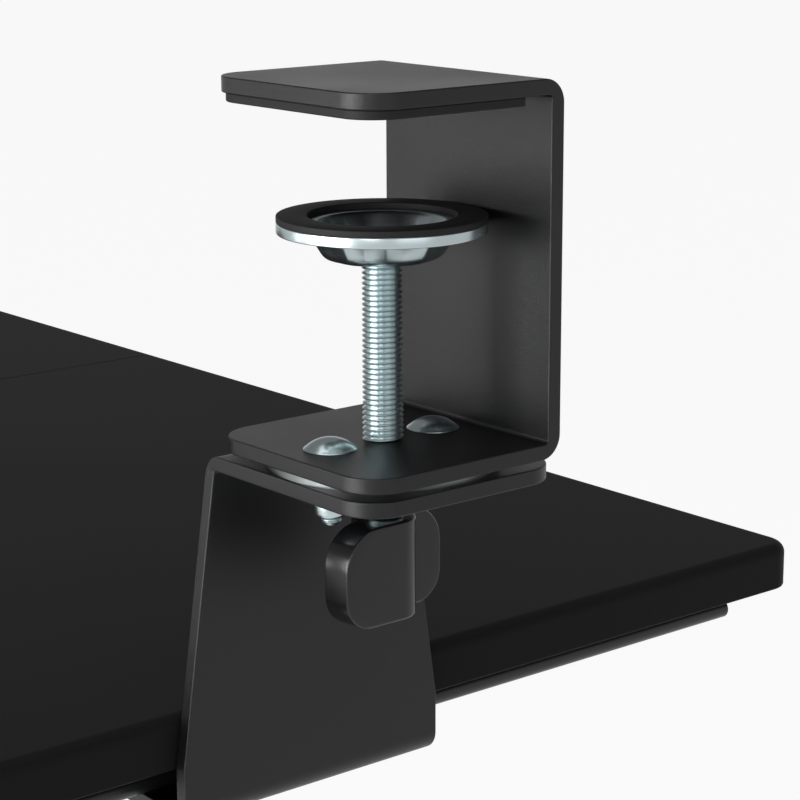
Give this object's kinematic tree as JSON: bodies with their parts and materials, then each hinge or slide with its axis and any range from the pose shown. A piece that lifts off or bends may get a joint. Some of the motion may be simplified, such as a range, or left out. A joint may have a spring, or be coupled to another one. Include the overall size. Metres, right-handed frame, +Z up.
{
  "type": "clamp-on sliding keyboard tray",
  "caption": "Flat keyboard tray that slides on ball-bearing rails beneath a desk, hung from bent-steel C clamps with screw-driven pressure feet and wing knobs.",
  "frame": {"origin": "midway between the two clamp screws, on the line through their axes, level with the desk top's upper face where the clamp pads rest", "axes": "+X along the desk's edge, from the left clamp to the right one; +Y in under the desk, away from the user; +Z up"},
  "size_m": [0.8324, 0.4479, 0.1901],
  "materials": {
    "black_coat": "fine-grained black powder coat",
    "black_rubber": "matt",
    "zinc_plate": "bright blue zinc plate",
    "knob_coat": "satin black",
    "slide_steel": "rolled, zinc plated",
    "dark_steel": "thin smooth black coat over rolled steel",
    "ball_steel": "polished",
    "black_nylon": "moulded",
    "black_board": "wood board under smooth matt black film",
    "dowel_wood": "plain beech"
  },
  "bodies": {
    "frame": {"clamp_strap_left": "black_coat", "clamp_pad_left": "black_rubber", "spacer_disc_left": "zinc_plate", "carriage_bolts_left": "zinc_plate", "flange_nuts_left": "zinc_plate", "support_bracket_left": "black_coat", "slide_rail_left": "slide_steel", "rail_screws_left": "zinc_plate", "rail_nuts_left": "zinc_plate", "rail_stop_left": "black_nylon", "clamp_strap_right": "black_coat", "clamp_pad_right": "black_rubber", "spacer_disc_right": "zinc_plate", "carriage_bolts_right": "zinc_plate", "flange_nuts_right": "zinc_plate", "support_bracket_right": "black_coat", "slide_rail_right": "slide_steel", "rail_screws_right": "zinc_plate", "rail_nuts_right": "zinc_plate", "rail_stop_right": "black_nylon"},
    "tray": {"tray_panel_left": "black_board", "slide_channel_left": "dark_steel", "channel_screws_left": "zinc_plate", "channel_stops_left": "black_nylon", "tray_panel_right": "black_board", "slide_channel_right": "dark_steel", "channel_screws_right": "zinc_plate", "channel_stops_right": "black_nylon", "tray_dowels": "dowel_wood", "joining_plates": "black_coat", "joining_screws": "zinc_plate"},
    "cage_left": {"ball_cage_left": "slide_steel", "slide_balls_left": "ball_steel"},
    "foot_left": {"clamp_foot_left": "zinc_plate", "foot_ring_left": "black_rubber"},
    "screw_left": {"clamp_screw_left": "zinc_plate", "wing_knob_left": "knob_coat"},
    "cage_right": {"ball_cage_right": "slide_steel", "slide_balls_right": "ball_steel"},
    "foot_right": {"clamp_foot_right": "zinc_plate", "foot_ring_right": "black_rubber"},
    "screw_right": {"clamp_screw_right": "zinc_plate", "wing_knob_right": "knob_coat"}
  },
  "joints": [
    {"name": "tray_slide", "type": "slide", "parent": "frame", "child": "tray", "axis": [0, 1, 0], "range_m": [-0.025, 0.15]},
    {"name": "cage_slide_left", "type": "slide", "parent": "frame", "child": "cage_left", "axis": [0, 1, 0], "range_m": [-0.0125, 0.075]},
    {"name": "foot_rise_left", "type": "slide", "parent": "frame", "child": "foot_left", "axis": [0, 0, 1], "range_m": [-0.039, 0]},
    {"name": "screw_turn_left", "type": "hinge", "parent": "foot_left", "child": "screw_left", "pos_m": [-0.3862, 0, -0.08], "axis": [0, 0, 1], "range_deg": [-11232, 0]},
    {"name": "cage_slide_right", "type": "slide", "parent": "frame", "child": "cage_right", "axis": [0, 1, 0], "range_m": [-0.0125, 0.075]},
    {"name": "foot_rise_right", "type": "slide", "parent": "frame", "child": "foot_right", "axis": [0, 0, 1], "range_m": [-0.039, 0]},
    {"name": "screw_turn_right", "type": "hinge", "parent": "foot_right", "child": "screw_right", "pos_m": [0.3862, 0, -0.08], "axis": [0, 0, 1], "range_deg": [-11232, 0]}
  ],
  "couplings": [
    {"joint": "cage_slide_left", "follows": "tray_slide", "ratio": 0.5},
    {"joint": "screw_turn_left", "follows": "foot_rise_left", "rad_per_m": 5026.5},
    {"joint": "cage_slide_right", "follows": "tray_slide", "ratio": 0.5},
    {"joint": "screw_turn_right", "follows": "foot_rise_right", "rad_per_m": 5026.5}
  ]
}
